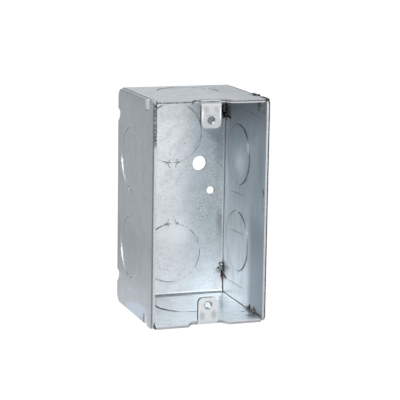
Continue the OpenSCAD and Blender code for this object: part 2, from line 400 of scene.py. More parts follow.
# Scorch round the weld on the top's right edge
TOP_BURN = (((24.2, -10.0), (23.4, -19.0), 1.5), ((24.7, -21.0), (24.5, -26.8), 1.1), spot(22.0, -12.5, 1.0))
SCORCH_HALO = (spot(24.0, 12.6, 3.2), spot(24.6, 89.5, 4.2))
SCORCH_CORE = (
    spot(24.2, 15.2, 1.3),
    spot(24.6, 11.6, 1.0),
    spot(22.9, 13.4, 0.7),
    ((25.1, 10.6), (24.6, 9.0), 0.8),
    ((24.5, 91.8), (24.6, 87.8), 1.9),
    ((25.2, 87.5), (24.2, 86.2), 1.0),
)
RED_LINE = (((24.9, 9.4), (24.9, 6.4), 0.42),)
TOP_GLINTS = (((5.0, 12.5), (5.3, 10.0), 0.6), ((5.5, 8.8), (6.4, 6.8), 0.6))
BOTTOM_BURN = (((24.4, -5.0), (24.6, -24.0), 1.6), spot(22.6, -20.0, 3.6), spot(21.5, -13.0, 1.6))
BOTTOM_STREAKS = (
    ((6.0, -12.0), (23.0, -12.0), 0.35),
    ((9.0, -16.5), (21.0, -16.5), 0.3),
    ((2.0, 2.0), (18.0, 2.0), 0.3),
)

# Painted black shade in the open gaps at the ends of the left seam
CORNER_GAPS = (((-25.5, 3.0), (-25.2, -0.9), 0.85), ((-24.8, 99.8), (-23.8, 99.4), 0.35))

# Marks on the inside of the right plate
RIGHT_LINES = (
    ((13.0, 93.7), (-24.6, 91.9), 0.45),
    ((19.1, 52.4), (-2.5, 53.3), 0.4),
    ((23.8, 9.1), (-5.3, 9.5), 0.35),
    ((21.6, 15.3), (14.1, 15.1), 0.35),
    ((18.9, 34.1), (-4.5, 35.2), 0.4),
)
# Painted light and painted shade on the right plate's inside
RIGHT_LIGHT = (spot(4.0, 68.0, 11), ((24.0, 78.0), (22.0, 30.0), 4), spot(4.5, 31.0, 11))
RIGHT_SHADE = (((-21.0, 82.0), (-21.0, 58.0), 7), ((16.0, 85.5), (6.0, 84.0), 2.5))
RIGHT_STAINS = (
    spot(-16.3, 97.3, 0.9),
    spot(-23.3, 95.0, 0.9),
    spot(-9.4, 92.5, 0.6),
    ((-24.6, 61.0), (-25.3, 57.0), 1.0),
    spot(-26.0, 51.6, 0.6),
)
RIGHT_OLIVE = (
    ((24.0, 91.5), (24.0, 84.0), 1.4),
    ((20.0, 92.5), (19.0, 84.5), 1.6),
    spot(-17.0, 96.0, 2.5),
    spot(24.5, 13.0, 1.8),
    ((-5.0, 2.6), (-22.0, 3.0), 1.0),
)
RIGHT_SOOT = (
    ((25.3, 92.0), (25.3, 87.5), 1.0),
    ((24.8, 87.0), (18.0, 86.8), 0.7),
    spot(25.0, 15.3, 1.1),
    ((25.2, 10.6), (20.5, 9.0), 0.8),
    ((-6.0, 2.0), (-25.0, 2.0), 0.8),
    spot(-11.0, 3.4, 1.2),
    spot(-18.0, 3.0, 1.1),
)
RIGHT_GLINTS = (
    spot(25.2, 13.2, 0.4),
    spot(-12.9, 2.4, 0.45),
    spot(-16.5, 2.6, 0.4),
    spot(-2.6, 66.8, 0.5),
    ((-3.6, 78.4), (-6.4, 73.4), 0.7),
    ((10.6, 43.6), (4.4, 45.2), 0.45),
)

# Marks on the outside of the left plate
# Painted reflection of the floor, lighter and bluer, along the plate's foot
LEFT_FLOOR_REFLECTION = (((14.0, 0.8), (-21.0, 6.5), 4.2),)
LEFT_GLINTS = (
    ((20.6, 73.5), (20.9, 66.5), 0.4),
    ((20.8, 33.0), (20.3, 25.0), 0.4),
    spot(21.1, 13.7, 0.5),
    ((3.1, 16.6), (2.6, 15.4), 0.25),
    ((8.2, 11.1), (5.0, 10.9), 0.2),
    spot(21.2, 89.4, 0.4),
)
LEFT_SPECKS = (spot(22.6, 10.3, 0.35), spot(14.0, 40.0, 0.25), spot(-12.0, 62.0, 0.2))


def zinc_grain(paint, along):
    """Fine grain, faint rolling streaks and soft clouds of the zinc."""
    streak = paint.noise(0.9, stretch=along, detail=3)
    cloud = paint.noise(5, detail=4, shift=31)
    leather = paint.noise(1.1, detail=2, shift=17)
    speck = paint.noise(0.42, detail=2, shift=7)
    paint.coat(paint.ramp(streak, 0.48, 0.75), 0.3, colour=grey(0.6, 0.04))
    paint.coat(paint.ramp(cloud, 0.45, 0.72), 0.35, colour=grey(0.55, 0.03))
    paint.coat(paint.ramp(leather, 0.52, 0.68), 0.25, colour=grey(0.5, 0.03))
    paint.coat(paint.ramp(speck, 0.55, 0.72), 0.4, colour=grey(0.42, 0.04))
    paint.relief(paint.plus(speck, streak, leather, leather), 0.022)


def tie_place(name):
    """Where a knockout's tie crosses its rim."""
    return mount_place(name) + TIE_WAYS.get(name, Vector((0, 0, -1))) * mount_radius(name)


def knockout_lines(paint, names, wall, light, where=1.0, width=0.34):
    """Shear line round each of these knockouts: painted shade in the line, or a painted highlight on its rim
    where light is high.
    """
    normal = WALLS[wall][0]
    for name in names:
        ring = paint.ring(mount_place(name), mount_radius(name), width, normal)
        tie = tie_place(name)
        bare = paint.less(paint.mark(tie, tie, TIE_BARE, normal, 0.15))
        line = paint.times(ring, bare, where)
        paint.coat(line, paint.less(light), colour=grey(0.2, 0.06))
        paint.coat(line, light, colour=grey(0.8))


def strip_steel(settings):
    """The strip's zinc, with scorch and scratches, and painted light and shade on the back, the tabs and the
    top, in its bend line and along its seams.
    """
    paint = Paint("strip_steel", list(settings.strip_colour) + [1], 1.0, settings.roughness)
    at_back = paint.ramp(paint.y, INNER_BACK_Y - 3, INNER_BACK_Y - 1.5)
    # Painted light and shade on the back: a painted reflection lightens its left part, it turns cooler
    # towards the right, and BACK_LIGHT and BACK_SHADE lay painted light and painted shade
    paint.coat(at_back, paint.ramp(paint.x, 10, -2), 0.8, colour=grey(0.90, 0.02))
    paint.coat(at_back, paint.ramp(paint.x, 6, 15), colour=(0.80, 0.86, 0.90, 1))
    zinc_grain(paint, (4, 1, 1))
    paint.cover("back", BACK_LIGHT, (0.94, 0.98, 1.0, 1), soft=0.9, ragged=0.6)
    paint.cover("back", BACK_SHADE, grey(0.35, 0.1), soft=0.9, ragged=1.2, where=[0.5])
    # Painted shadow of the right plate on the back: a speckled darker band towards the right, above the
    # bottom
    right_plate_shadow = paint.times(
        at_back,
        paint.ramp(paint.x, 4, 13),
        paint.ramp(paint.z, 14, 40),
        paint.ramp(paint.noise(0.45, detail=2, shift=3), 0.3, 0.7),
    )
    paint.coat(right_plate_shadow, 0.5, colour=grey(0.42, 0.12))
    across = paint.math("ABSOLUTE", paint.x)
    tab_faces(paint, across)
    paint.coat(at_back, paint.pits(2.2, 0.24, 0.3), colour=grey(0.22, 0.05))
    on_top = paint.ramp(paint.z, BOX_H - 3, BOX_H - 2)
    # Painted shade: the top darker towards the right
    paint.coat(on_top, paint.ramp(paint.x, 2, 20), 0.4, colour=grey(0.5, 0.03))
    strip_knockouts(paint, at_back, on_top)

    paint.cover("back", BACK_SCRATCHES, grey(0.98))
    paint.cover("back", BACK_LINES, grey(0.3, 0.05))
    paint.cover("back", [spot(*place, 0.3) for place in BACK_DOTS], grey(0.08, 0.05))
    paint.cover("top", TOP_GLINTS, grey(1.0), ragged=1.5)
    paint.cover("bottom", BOTTOM_STREAKS, grey(0.45, 0.05), ragged=0.8, where=[0.5])
    strip_seams(paint, across, at_back, on_top)

    paint.cover("back", SCORCH_HALO, OLIVE, soft=0.8, ragged=1.6, where=[0.75])
    paint.cover("bottom", BOTTOM_BURN, grey(0.12, 0.05), soft=0.8, ragged=1.8, where=[0.75])
    paint.cover("top", TOP_BURN, grey(0.03), soft=0.7, ragged=1.2, metallic=0.0)
    paint.cover("back", SCORCH_CORE, SOOT_AND_GAP_SHADE, ragged=1.0, metallic=0.1, roughness=0.8)
    paint.cover("back", RED_LINE, RED_MARK, ragged=0.8, metallic=0.0)
    return paint.finish()


def tab_faces(paint, across):
    """The tabs painted lighter and the upper one painted darker, a painted light and shade, with dull
    patches, painted highlights along their edges, painted shade along the upper bend and a torn rim round
    the lower hole.
    """
    at_front = paint.times(paint.ramp(paint.y, FRONT_Y + 4.5, FRONT_Y + 3.5), paint.ramp(across, *TAB_FADE))
    # Painted light on both tabs, and painted shade on the upper one
    paint.coat(at_front, 0.5, colour=grey(0.97))
    paint.coat(at_front, paint.ramp(paint.z, MID_Z, MID_Z + 10), colour=grey(0.56, 0.03))
    paint.cover("tab", TAB_PATCHES, grey(0.30, 0.02), soft=0.6, ragged=0.9, where=[at_front, 0.4])
    paint.cover("tab", TAB_HIGHLIGHTS, grey(0.95), soft=0.7, ragged=0.6, where=[at_front])
    paint.cover("tab", TAB_LINES, grey(0.12, 0.06), soft=0.6, ragged=0.6)
    torn = paint.ramp(paint.noise(0.7, detail=2, shift=23), 0.4, 0.55)
    hole = "lower_device_screw_hole"
    ring = paint.ring(mount_place(hole), mount_radius(hole), 0.4, WALLS["tab"][0])
    paint.coat(ring, at_front, torn, 0.7, colour=grey(0.1, 0.04))


def strip_knockouts(paint, at_back, on_top):
    """Shear lines and ties of the strip's knockouts, with painted shade and highlights, and painted shade
    round the bottom one, in the back's bend and on the top knockout's rear wall.
    """
    knockout_lines(paint, ["top_knockout"], "top", 0.9, on_top)
    # Painted shade on the rear wall of the top knockout's recess
    rim = paint.ring(mount_place("top_knockout"), mount_radius("top_knockout"), 0.6, UPWARD)
    rear = paint.times(paint.ramp(paint.y, 0, 8), paint.ramp(paint.x, 12.5, 10.5))
    rim = paint.times(rim, rear, on_top, paint.ramp(paint.z, BOX_H - 0.02, BOX_H - 0.06))
    paint.coat(rim, colour=grey(0.35, 0.05), metallic=0.0, roughness=0.9)
    low = paint.ramp(paint.z, 3, 2)
    rear = paint.ramp(paint.y, 0, 6)
    knockout_lines(paint, ["bottom_knockout"], "bottom", 0.4, low)
    knockout_lines(paint, ["bottom_knockout"], "bottom", 0.3, paint.times(low, rear), 0.8)
    # Painted shade in the bend between the back and the bottom
    bend_y, bend_z = INNER_BACK_Y - 0.4, SHEET_T + 0.4
    bend = paint.mark((-60, bend_y, bend_z), (60, bend_y, bend_z), 0.55, CORNER, 0.7)
    paint.coat(bend, 0.7, colour=grey(0.28, 0.08))
    shade = paint.mark((23.5, 22.0, SHEET_T), (7.0, -25.0, SHEET_T), 1.0, UPWARD, 0.9)
    paint.coat(shade, 0.5, colour=grey(0.42, 0.08))
    lit = paint.ramp(paint.noise(5, shift=11), 0.45, 0.6)
    knockout_lines(paint, ["upper_back_knockout"], "back", paint.times(lit, 0.4), at_back)
    knockout_lines(paint, ["lower_back_knockout"], "back", lit, at_back)
    for name, side in (("upper_back_knockout", -1), ("lower_back_knockout", 1)):
        tie = tie_place(name)
        # Painted highlight on the slope of each back tie's neck
        neck_highlight = paint.mark(tie, tie, 1.8, WALLS["back"][0], 0.3)
        paint.coat(neck_highlight, 0.6, colour=grey(0.95))
        blotches = [
            spot(tie.x + start[0], tie.z - side * start[1], width) for start, end, width in TIE_BLOTCHES
        ]
        paint.cover("back", blotches, grey(0.33, 0.03), ragged=1.4)


def strip_seams(paint, across, at_back, on_top):
    """Painted highlight and painted shade along the strip's long edges, beside the plates, and painted shade
    along the top's right edge.
    """
    # Painted highlight along the strip's rounded edges
    edge_highlight = paint.times(
        paint.ramp(across, STRIP_HALF_W - 1.0, STRIP_HALF_W - 0.7),
        paint.ramp(across, STRIP_HALF_W - 0.2, STRIP_HALF_W - 0.4),
    )
    paint.coat(edge_highlight, colour=grey(0.95))
    # Painted shade in the gap between the strip and the plates, fainter on the middle of the back
    gap_shade = paint.ramp(across, STRIP_HALF_W - 0.5, STRIP_HALF_W - 0.2)
    faint_seam = paint.times(at_back, paint.ramp(paint.z, 90, 84), paint.ramp(paint.z, 16, 19), 0.75)
    paint.coat(gap_shade, paint.less(faint_seam), colour=SEAM_SHADE, metallic=0.5)
    # Painted shade along the top's right seam
    top_seam = paint.times(on_top, paint.ramp(paint.x, STRIP_HALF_W - 0.9, STRIP_HALF_W - 0.5))
    paint.coat(top_seam, colour=grey(0.05, -0.05), metallic=0.0)


def plate_steel(settings):
    """The side plates' zinc, streaked along their height, with stains and scorch, and painted light, shade,
    reflection and highlights.
    """
    paint = Paint("plate_steel", list(settings.plate_colour) + [1], 1.0, settings.roughness)
    inside = paint.ramp(paint.x, INNER_X + 0.6, INNER_X + 0.3)
    inside = paint.times(inside, paint.ramp(paint.x, 0, 1))
    paint.coat(inside, colour=(0.65, 0.73, 0.785, 1))
    zinc_grain(paint, (1, 1, 6))
    # Painted light and shade inside the plates: lighter low down towards the back, darker low down at the
    # front and near the top
    low_back_light = paint.times(paint.ramp(paint.z, 62, 36), paint.ramp(paint.y, -13, -6), inside)
    low_front_shade = paint.times(paint.ramp(paint.z, 50, 36), paint.ramp(paint.y, -6, -13), inside)
    high = paint.times(paint.ramp(paint.z, 76, 96), inside)
    paint.coat(low_back_light, 0.9, colour=(0.94, 0.97, 0.98, 1))
    paint.coat(low_front_shade, 0.68, colour=(0.37, 0.42, 0.465, 1))
    paint.coat(high, 0.65, colour=(0.37, 0.395, 0.42, 1))
    # Painted light and painted shade on the right plate's inside, and a painted reflection of the floor on
    # the left plate's foot
    paint.cover("right", RIGHT_LIGHT, (0.93, 0.98, 1.0, 1), soft=0.95, ragged=0.8, where=[0.85])
    paint.cover("right", RIGHT_SHADE, (0.36, 0.41, 0.45, 1), soft=0.95, ragged=0.8, where=[0.55])
    paint.cover("left", LEFT_FLOOR_REFLECTION, (0.77, 0.83, 0.94, 1), ragged=0.3)

    lit = paint.ramp(paint.noise(4, shift=5), 0.4, 0.6)
    outside = paint.ramp(paint.x, 0, -1)
    # Painted shade: the left plate's outside darker between about 10 and 48 mm up
    low = paint.times(outside, paint.ramp(paint.z, 48, 34), paint.ramp(paint.z, 10, 20))
    paint.coat(low, 0.3, colour=grey(0.42, 0.05))
    left_names = ["upper_left_knockout", "lower_left_knockout"]
    front = paint.ramp(paint.y, mount_place(left_names[0]).y, mount_place(left_names[0]).y - 8)
    knockout_lines(paint, left_names, "left", 1.0, paint.times(outside, front), 0.8)
    knockout_lines(paint, left_names, "left", 0.9, outside)
    streak = paint.ramp(paint.noise(3, stretch=(1, 1, 3.5), detail=4, shift=3), 0.42, 0.72)
    paint.coat(streak, inside, 0.3, colour=(0.40, 0.46, 0.50, 1))
    right_names = ["upper_right_knockout", "lower_right_knockout"]
    knockout_lines(paint, right_names, "right", paint.times(lit, 0.3), inside)
    rear = paint.ramp(paint.y, mount_place(right_names[0]).y, mount_place(right_names[0]).y + 8)
    knockout_lines(paint, right_names, "right", 0.3, paint.times(inside, rear), 0.8)

    paint.cover("right", RIGHT_LINES, grey(0.3, 0.05), ragged=0.6, where=[0.6])
    paint.cover("right", RIGHT_OLIVE, OLIVE, soft=0.9, ragged=1.5, metallic=0.7)
    paint.cover("right", RIGHT_STAINS, grey(0.1), soft=0.8, ragged=1.5, metallic=0.5)
    paint.cover("right", RIGHT_SOOT, SOOT_AND_GAP_SHADE, ragged=1.2, metallic=0.2, roughness=0.7)
    paint.cover("right", RIGHT_GLINTS, grey(1.0), ragged=0.8, metallic=0.0)
    paint.cover("left", LEFT_GLINTS, grey(1.0), ragged=0.5, roughness=0.2)
    paint.cover("left", LEFT_SPECKS, (0.12, 0.08, 0.07, 1), metallic=0.3)

    # Painted shade in the corners where the plates meet the strip, fainter at the back
    off_middle = paint.off(paint.z, MID_Z)
    at_rear = paint.ramp(paint.y, INNER_BACK_Y - 0.4, INNER_BACK_Y - 0.1)
    at_ends = paint.ramp(off_middle, MID_Z - SHEET_T - 0.4, MID_Z - SHEET_T - 0.1)
    corner = paint.any_of(paint.times(at_rear, 0.4), at_ends)
    paint.coat(inside, corner, colour=SEAM_SHADE, metallic=0.5)
    rolled_edge(paint)
    return paint.finish()


def cut_steel(name, settings, depth_of, torn_depth, roll):
    """Sheared edge: torn down to a depth, with a line of painted shade where the rolled outer corner ends.
    """
    paint = Paint(name, list(settings.cut_colour) + [1], 0.7, 0.4)
    depth = depth_of(paint)
    off_middle = paint.off(paint.z, MID_Z)
    crumble = paint.noise(0.45, detail=3)
    ragged = paint.math("ADD", depth, paint.math("MULTIPLY", crumble, 1.2))
    torn = paint.ramp(ragged, torn_depth + 0.7, torn_depth + 0.5)
    edge = paint.ramp(ragged, roll + 0.95, roll + 0.78)
    edge = paint.times(edge, paint.ramp(ragged, roll + 0.4, roll + 0.55))
    # On the strip the painted shade is weaker in its lower half
    if depth_of is strip_depth:
        edge = paint.times(edge, paint.plus(0.3, paint.times(0.7, paint.ramp(paint.z, 40, 60))))
    paint.coat(torn, colour=list(settings.torn_colour) + [1], roughness=0.6)
    paint.coat(edge, colour=grey(0.09), metallic=0.4, roughness=0.7)
    # Painted shade on the tabs' left side faces and on the walls of their screw holes
    tab_side = paint.times(
        paint.ramp(paint.math("ABSOLUTE", paint.x), *TAB_FADE),
        paint.ramp(paint.y, TAB_Y + 2.0, TAB_Y + 1.8),
        paint.ramp(off_middle, MID_Z - 2.2, MID_Z - 2.8),
        paint.ramp(paint.x, 2.5, 1.5),
    )
    paint.coat(tab_side, colour=grey(0.12, 0.08), metallic=0.6)
    paint.cover("front", CORNER_GAPS, SOOT_AND_GAP_SHADE, soft=0.4, metallic=0.0)
    if depth_of is plate_depth:
        black = paint.times(
            paint.ramp(paint.x, 0, -1),
            paint.ramp(paint.y, FRONT_Y + 2, FRONT_Y + 1),
            paint.ramp(paint.z, 80, 84),
            paint.ramp(crumble, 0.65, 0.45),
        )
        paint.coat(black, colour=grey(0.05), roughness=0.7)
        # Painted shade on the right plate's top edge, beside the seam
        right_top = paint.times(paint.ramp(paint.x, 0, 1), paint.ramp(paint.z, BOX_H - 1.5, BOX_H - 1))
        paint.coat(right_top, colour=grey(0.05), metallic=0.0, roughness=0.9)
        rolled_edge(paint)
    paint.relief(crumble, 0.1)
    return paint.finish()


def rolled_edge(paint):
    """Painted shade along the plates' rolled front corner, where the die drew the sheet down."""
    across = paint.math("ABSOLUTE", paint.x)
    near_front = paint.ramp(paint.y, FRONT_Y + 1.4, FRONT_Y + 0.7)
    left = paint.times(near_front, paint.ramp(paint.x, 0, -1), 0.6)
    right = paint.times(near_front, paint.ramp(paint.x, 0, 1), 0.95)
    paint.coat(left, paint.ramp(across, HALF_W - 0.55, HALF_W - 0.3), colour=grey(0.16, 0.03))
    wavy = paint.math("ADD", across, paint.math("MULTIPLY", paint.noise(0.8, detail=3), 0.6))
    right = paint.times(right, paint.ramp(wavy, HALF_W - 0.55, HALF_W - 0.3))
    paint.coat(right, colour=grey(0.07, 0.03), metallic=0.6)


def plate_depth(paint):
    """Distance below the plate's outer face."""
    return paint.math("SUBTRACT", HALF_W, paint.math("ABSOLUTE", paint.x))


def strip_depth(paint):
    """Distance below the strip's outer face, at its ends or its back."""
    from_end = paint.math("SUBTRACT", MID_Z, paint.off(paint.z, MID_Z))
    return paint.math("MINIMUM", from_end, paint.math("SUBTRACT", BACK_Y, paint.y))


def add_object(name, data):
    """A new object in the scene."""
    made = bpy.data.objects.new(name, data)
    bpy.context.scene.collection.objects.link(made)
    return made


def merged_copy(node_name, piece_name):
    """A copy of a CAD node with its loose triangles merged into flat faces."""
    mesh = frame["nodes"][node_name].data.copy()
    piece = add_object(piece_name, mesh)
    bm = bmesh.new()
    bm.from_mesh(mesh)
    bmesh.ops.remove_doubles(bm, verts=bm.verts, dist=0.001 * MM)
    bmesh.ops.dissolve_limit(
        bm, angle_limit=math.radians(0.5), verts=bm.verts, edges=bm.edges, delimit=set()
    )
    bm.to_mesh(mesh)
    bm.free()
    return piece


def span(face, axis):
    """How far a face reaches along an axis, in millimetres."""
    values = [vert.co[axis] / MM for vert in face.verts]
    return max(values) - min(values)


def near_knockout(place):
    """Whether a place lies on a knockout or on the slits beside its ties."""
    for name in MOUNTS:
        if name.endswith("_knockout"):
            off = place - mount_place(name)
            if sorted(abs(part) for part in off)[0] < SHEET_T and off.length < mount_radius(name) + 2.5:
                return True
    return False


def strip_face_is_cut(face):
    """Whether a face of the strip is a sheared edge and not the sheet's surface."""
    centre = face.calc_center_median() / MM
    if near_knockout(centre):
        return False
    if abs(face.normal.x) > 0.05 or span(face, 0) < 3:
        return True
    if abs(face.normal.y) > 0.9 and centre.y < FRONT_Y + 0.1:
        return True
    return abs(face.normal.z) > 0.9 and 2 * SHEET_T < centre.z < BOX_H - 2 * SHEET_T


def plate_face_is_cut(face):
    return abs(face.normal.x) < 0.9 and not near_knockout(face.calc_center_median() / MM)


def set_finishes(mesh, sheet, cut, is_cut):
    """Gives the sheet's surface one material and its sheared edges another."""
    mesh.materials.clear()
    mesh.materials.append(sheet)
    mesh.materials.append(cut)
    bm = bmesh.new()
    bm.from_mesh(mesh)
    for face in bm.faces:
        face.material_index = 1 if is_cut(face) else 0
    bm.to_mesh(mesh)
    bm.free()


def roll_outer_edge(mesh, width):
    """Rounds the outer edge of a side plate, where the die drew the sheet down."""
    bm = bmesh.new()
    bm.from_mesh(mesh)
    rim = 5.5
    edges = []
    for edge in bm.edges:
        middle = (edge.verts[0].co + edge.verts[1].co) / 2 / MM
        on_outside = all(abs(abs(vert.co.x / MM) - HALF_W) < 0.01 for vert in edge.verts)
        near_rim = (
            middle.y < FRONT_Y + rim
            or middle.y > BACK_Y - rim
            or middle.z < rim
            or middle.z > BOX_H - rim
        )
        if on_outside and near_rim and edge.calc_face_angle(0) > math.radians(60):
            edges.append(edge)
    bmesh.ops.bevel(
        bm,
        geom=edges,
        offset=width * MM,
        segments=3,
        profile=0.5,
        affect="EDGES",
        material=-1,
        clamp_overlap=True,
    )
    bm.to_mesh(mesh)
    bm.free()


def soften_edges(piece, width):
    """Rounds the remaining sharp edges a little and shades the rest smoothly."""
    bevel = piece.modifiers.new("edge round", "BEVEL")
    bevel.width = width * MM
    bevel.segments = 2
    bevel.limit_method = "ANGLE"
    bevel.angle_limit = math.radians(35)
    bevel.harden_normals = True
    for polygon in piece.data.polygons:
        polygon.use_smooth = True
    piece.data.set_sharp_from_angle(angle=math.radians(35))


def weld_metal():
    """Dark melted steel with bright glints. The left beads are lighter and less metallic."""
    paint = Paint("weld_metal", grey(0.22, 0.02), 0.9, 0.45)
    lump = paint.noise(0.7, detail=3)
    paint.coat(paint.ramp(lump, 0.5, 0.36), colour=SOOT_AND_GAP_SHADE, metallic=0.3, roughness=0.7)
    paint.coat(paint.ramp(lump, 0.56, 0.66), colour=grey(0.9), roughness=0.25)
    paint.coat(paint.ramp(paint.x, 5, -5), 0.9, colour=grey(0.9, 0.02), metallic=0.5)
    on_top = paint.times(paint.ramp(paint.x, -5, 5), paint.ramp(paint.z, BOX_H - 2, BOX_H - 1))
    paint.coat(on_top, paint.ramp(lump, 0.60, 0.52), colour=SOOT_AND_GAP_SHADE, metallic=0.0, roughness=0.8)
    paint.relief(lump, 0.15)
    return paint.finish()


def islands(bm):
    """Groups of faces that hang together."""
    seen = set()
    for first in bm.faces:
        if first in seen:
            continue
        seen.add(first)
        group = [first]
        for face in group:
            for edge in face.edges:
                for other in edge.link_faces:
                    if other not in seen:
                        seen.add(other)
                        group.append(other)
        yield group


def random_shift(rng):
    """Picks another part of the noise."""
    return Vector([rng.uniform(0, 9) for _ in range(3)])


def melted_ball(bm, middle, reach, rng):
    """Rough drop of metal."""
    made = bmesh.ops.create_icosphere(bm, subdivisions=3, radius=1)
    shift = random_shift(rng)
    for vert in made["verts"]:
        swell = 0.93 + 0.16 * noise.noise(vert.co * 1.7 + shift)
        vert.co = Vector([middle[axis] + vert.co[axis] * reach[axis] * swell for axis in range(3)]) * MM


def weld_lumps(source, rng):
    """Three melted drops on each plain bead, and the spatter."""
    drop = 0.24
    beads = bmesh.new()
    beads.from_mesh(source)
    bmesh.ops.remove_doubles(beads, verts=beads.verts, dist=0.001 * MM)
    ends = []
    for group in islands(beads):
        places = [vert.co / MM for face in group for vert in face.verts]
        low = Vector([min(place[axis] for place in places) for axis in range(3)])
        high = Vector([max(place[axis] for place in places) for axis in range(3)])
        ends.append((low, high))
    beads.free()
    # One bead lies in each eighth of the box, so their order is the same on every run
    ends.sort(key=lambda pair: [part > 0 for part in pair[0] + pair[1] - Vector((0, 0, BOX_H))])
    lumps = bmesh.new()
    for low, high in ends:
        size = high - low
        longest = max(range(3), key=lambda axis: size[axis])
        for share in (drop, 0.5, 1 - drop):
            middle = (low + high) / 2
            middle[longest] = low[longest] + share * size[longest]
            reach = size / 2
            reach[longest] = size[longest] * drop
            melted_ball(lumps, middle, reach, rng)
    for middle, reach in SPATTER:
        melted_ball(lumps, middle, reach, rng)
    return lumps


def notch_plug(bm, low, high, rng):
    """Rough block of weld metal that fills a notch in a side plate."""
    block = bmesh.new()
    bmesh.ops.create_cube(block, size=1)
    bmesh.ops.subdivide_edges(block, edges=block.edges, cuts=7, use_grid_fill=True)
    shift = random_shift(rng)
    for vert in block.verts:
        place = (low + high) / 2 + Matrix.Diagonal(high - low) @ vert.co
        place.x += PLUG_ROUGH * noise.noise(place * 0.9 + shift)
        vert.co = place * MM
    mesh = bpy.data.meshes.new("plug")
    block.to_mesh(mesh)
    block.free()
    bm.from_mesh(mesh)
    bpy.data.meshes.remove(mesh)


def notch_plugs(bm, rng):
    """Fills the eight notches, a little below the plates' outer faces."""
    front = FRONT_Y + END_NOTCH_FROM_FRONT
    notches = (
        (front, front + END_NOTCH_W, SHEET_T / 2, END_NOTCH_L),
        (
            BACK_Y - BACK_NOTCH_L,
            BACK_Y - SHEET_T / 2,
            BACK_NOTCH_FROM_END,
            BACK_NOTCH_FROM_END + BACK_NOTCH_W,
        ),
    )
    for side in (-1, 1):
        low_x, high_x = sorted(side * part for part in (INNER_X + PLUG_ROUGH, HALF_W - PLUG_SINK))
        for end in (0, 1):
            for low_y, high_y, *heights in notches:
                low_z, high_z = sorted(abs(end * BOX_H - height) for height in heights)
                notch_plug(bm, Vector((low_x, low_y, low_z)), Vector((high_x, high_y, high_z)), rng)


def thread_ridge(bm, centre, radius, pitch):
    """Helical ridge on the wall of a screw hole that runs through the sheet along y."""
    turns = 1.64
    steps = 28
    crest = 0.36
    root = 0.06
    profile = (
        (radius + root, -pitch * 0.3),
        (radius - crest, 0),
        (radius + root, pitch * 0.3),
    )
    start = centre.y - SHEET_T / 2 + pitch * 0.15
    verts = [bm.verts.new(Vector((centre.x + out, start + along, centre.z)) * MM) for out, along in profile]
    edges = [bm.edges.new((verts[index], verts[index - 1])) for index in range(3)]
    bmesh.ops.spin(
        bm,
        geom=verts + edges,
        cent=centre * MM,
        axis=(0, 1, 0),
        dvec=(0, pitch * MM / steps, 0),
        angle=math.tau * turns,
        steps=int(steps * turns),
        use_merge=False,
    )
    bmesh.ops.holes_fill(bm, edges=bm.edges, sides=3)


def dress(piece, node):
    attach(piece, BODY)
    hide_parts(node)


def add_piece(name, bm, material):
    """Makes a new piece of this mesh, riding on the box."""
    mesh = bpy.data.meshes.new(name)
    bm.to_mesh(mesh)
    bm.free()
    for polygon in mesh.polygons:
        polygon.use_smooth = True
    mesh.materials.append(material)
    piece = add_object(name, mesh)
    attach(piece, BODY)
    return piece


class UtilityBoxSheet(bpy.types.PropertyGroup):
    """Finish of the strip and the side plates"""

    strip_colour: bpy.props.FloatVectorProperty(
        name="Strip colour",
        description="Colour of the zinc on the bent strip",
        subtype="COLOR",
        size=3,
        min=0,
        max=1,
        default=(0.8, 0.835, 0.86),
    )
    plate_colour: bpy.props.FloatVectorProperty(
        name="Plate colour",
        description="Colour of the zinc on the side plates",
        subtype="COLOR",
        size=3,
        min=0,
        max=1,
        default=(0.69, 0.725, 0.76),
    )
    cut_colour: bpy.props.FloatVectorProperty(
        name="Cut colour",
        description="Colour of the sheared edges",
        subtype="COLOR",
        size=3,
        min=0,
        max=1,
        default=(0.62, 0.63, 0.66),
    )
    torn_colour: bpy.props.FloatVectorProperty(
        name="Torn colour",
        description="Colour of the torn part of the sheared edges",
        subtype="COLOR",
        size=3,
        min=0,
        max=1,
        default=(0.45, 0.46, 0.48),
    )
    roughness: bpy.props.FloatProperty(
        name="Roughness",
        description="Roughness of the zinc",
        subtype="FACTOR",
        min=0,
        max=1,
        default=0.38,
    )
    edge_round: bpy.props.FloatProperty(
        name="Edge round",
        description="Width of the rounding on sharp edges, in millimetres",
        min=0.01,
        max=0.3,
        default=0.1,
    )
    seed: bpy.props.IntProperty(
        name="Seed",
        description="Picks the shapes of the weld metal",
        min=0,
        default=7,
    )
    die_roll: bpy.props.FloatProperty(
        name="Die roll",
        description="Width of the rounding along the side plates' outer edges, in millimetres",
        min=0.1,
        max=0.6,
        default=0.4,
    )


class UtilityBoxStudio(bpy.types.PropertyGroup):
    """Lamps, floor and camera"""

    ceiling: bpy.props.FloatProperty(
        name="Ceiling",
        description="Brightness of the studio's ceiling",
        min=0,
        default=0.45,
    )
    walls: bpy.props.FloatVectorProperty(
        name="Walls",
        description="Brightness of the walls: front left, front right, back left, back right",
        size=4,
        min=0,
        default=(0.6, 0.18, 0.35, 0.66),
    )
    near_floor: bpy.props.FloatProperty(
        name="Near floor",
        description="Brightness of the floor close round the box, as the metal mirrors it",
        min=0,
        default=0.72,
    )
    floor: bpy.props.FloatVectorProperty(
        name="Floor",
        description="The same further away: front left, front right, back left, back right",
        size=4,
        min=0,
        default=(0.07, 0.61, 0.52, 0.39),
    )
    focal_px: bpy.props.FloatProperty(
        name="Focal length",
        description="Focal length in pixels of a picture 400 pixels wide",
        min=400,
        default=1667.28,
    )


